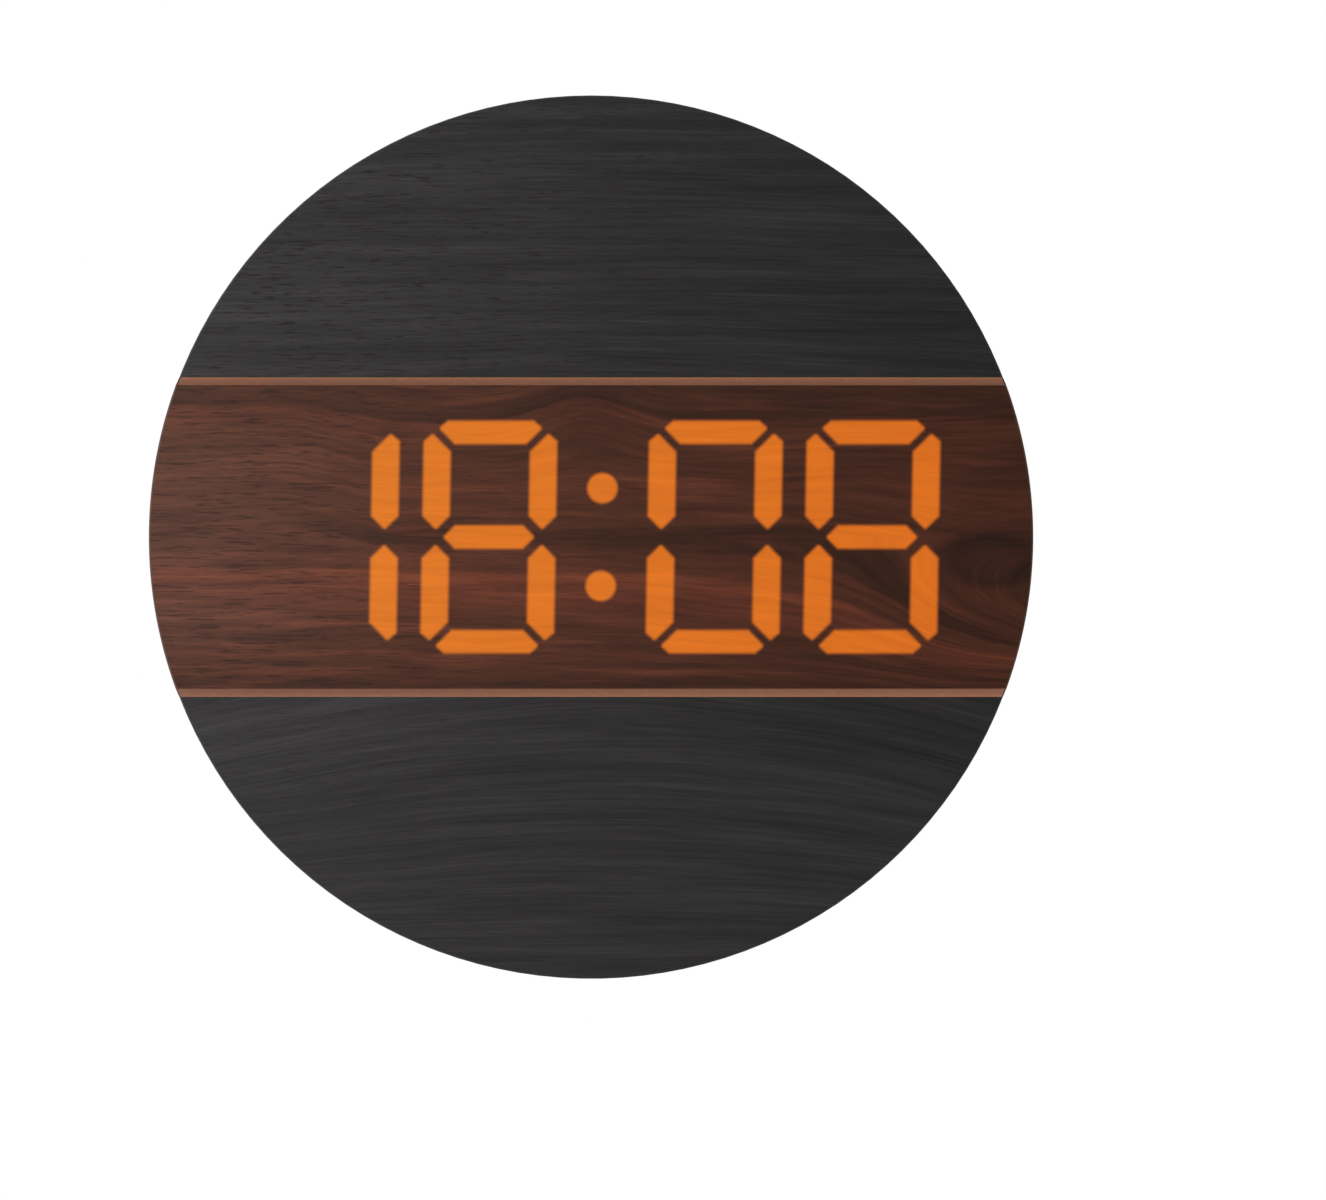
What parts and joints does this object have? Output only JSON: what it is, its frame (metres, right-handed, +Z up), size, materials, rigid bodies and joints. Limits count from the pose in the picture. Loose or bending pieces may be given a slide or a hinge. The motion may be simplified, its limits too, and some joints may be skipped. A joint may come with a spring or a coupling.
{
  "type": "round LED alarm clock",
  "caption": "Round wall-hung LED alarm clock: thin wood-grain disc with a raised walnut band that the lit digits shine through.",
  "frame": {"origin": "centre of the back, on the wall plane", "axes": "+Y into the wall, so the clock's face looks along -Y; +Z up and +X to the right as the time is read"},
  "size_m": [0.295, 0.018, 0.295],
  "materials": {
    "painted_mdf": "fibreboard sprayed matt black, slightly rough where it was routed",
    "black_film": "black PVC film embossed with a fine level wood grain",
    "backing_film": "smooth matt black melamine backing",
    "edging": "black PVC edge band, fine satin",
    "raw_mdf": "cut and bevelled fibreboard stained light brown",
    "walnut_film": "dark walnut wood-grain PVC film, satin",
    "walnut_edging": "dark walnut PVC edge band, satin",
    "milky_guide": "milky moulded polycarbonate",
    "white_frame": "opaque white moulded ABS",
    "circuit_board": "green solder mask on glass epoxy",
    "led_package": "white LED package with an amber lens",
    "zinc_screw": "bright zinc plate",
    "black_screw": "black zinc plate",
    "hanger_steel": "stamped steel, bright zinc plate",
    "cover_plastic": "black ABS with a fine spark texture",
    "socket_plastic": "black moulded PBT, semi-gloss",
    "nickel_pin": "nickel plate",
    "switch_metal": "tinned steel",
    "switch_plastic": "black moulded nylon",
    "slider_plastic": "dark grey moulded acetal",
    "button_plastic": "dark grey ABS, satin",
    "cell_steel": "nickel-plated steel can",
    "chip_epoxy": "black moulding epoxy",
    "tinned_leg": "tin plate",
    "crystal_can": "bright nickel silver can",
    "capacitor_can": "satin aluminium can",
    "resistor_body": "black glazed ceramic with tinned ends",
    "buzzer_case": "black moulded case",
    "bead_glass": "black epoxy bead on tinned leads"
  },
  "bodies": {
    "clock": {"carcass": "painted_mdf", "black_film": "black_film", "back_film": "backing_film", "rim_edging": "edging", "walnut_board": "raw_mdf", "walnut_film": "walnut_film", "walnut_edging_left": "walnut_edging", "walnut_edging_right": "walnut_edging", "light_guide_hour_tens": "milky_guide", "light_guide_hour_units": "milky_guide", "light_guide_colon": "milky_guide", "light_guide_minute_tens": "milky_guide", "light_guide_minute_units": "milky_guide", "light_frame": "white_frame", "circuit_board": "circuit_board", "leds_hour_tens": "led_package", "leds_hour_units": "led_package", "leds_colon": "led_package", "leds_minute_tens": "led_package", "leds_minute_units": "led_package", "board_screws": "zinc_screw", "rear_cover": "cover_plastic", "cover_screws": "black_screw", "hanger_plate_left": "hanger_steel", "hanger_plate_right": "hanger_steel", "hanger_screws": "zinc_screw", "power_socket": "socket_plastic", "socket_pin": "nickel_pin", "alarm_switch_body": "switch_metal", "battery_holder": "socket_plastic", "negative_contact": "nickel_pin", "positive_clip": "nickel_pin", "coin_cell": "cell_steel", "processor_chip": "chip_epoxy", "processor_legs": "tinned_leg", "driver_chips": "chip_epoxy", "driver_legs": "tinned_leg", "clock_crystal": "crystal_can", "storage_capacitor": "capacitor_can", "power_regulator": "chip_epoxy", "segment_resistors": "resistor_body", "buzzer": "buzzer_case", "thermistor": "bead_glass", "set_switch_base": "switch_plastic", "set_switch_cover": "switch_metal", "up_switch_base": "switch_plastic", "up_switch_cover": "switch_metal", "down_switch_base": "switch_plastic", "down_switch_cover": "switch_metal"},
    "set_key": {"set_button": "button_plastic", "set_switch_plunger": "slider_plastic"},
    "up_key": {"up_button": "button_plastic", "up_switch_plunger": "slider_plastic"},
    "down_key": {"down_button": "button_plastic", "down_switch_plunger": "slider_plastic"},
    "alarm_lever": {"alarm_knob": "button_plastic", "alarm_slider": "slider_plastic"},
    "battery_flap": {"battery_door": "cover_plastic"}
  },
  "joints": [
    {"name": "set_press", "type": "slide", "parent": "clock", "child": "set_key", "axis": [0, -1, 0], "range_m": [0, 0.0005], "stiffness_N_per_m": 2500},
    {"name": "up_press", "type": "slide", "parent": "clock", "child": "up_key", "axis": [0, -1, 0], "range_m": [0, 0.0005], "stiffness_N_per_m": 2500},
    {"name": "down_press", "type": "slide", "parent": "clock", "child": "down_key", "axis": [0, -1, 0], "range_m": [0, 0.0005], "stiffness_N_per_m": 2500},
    {"name": "alarm_slide", "type": "slide", "parent": "clock", "child": "alarm_lever", "axis": [1, 0, 0], "range_m": [0, 0.002]},
    {"name": "battery_door_hinge", "type": "hinge", "parent": "clock", "child": "battery_flap", "pos_m": [0.062, -0.001, 0.0182], "axis": [1, 0, 0], "range_deg": [0, 90]}
  ]
}
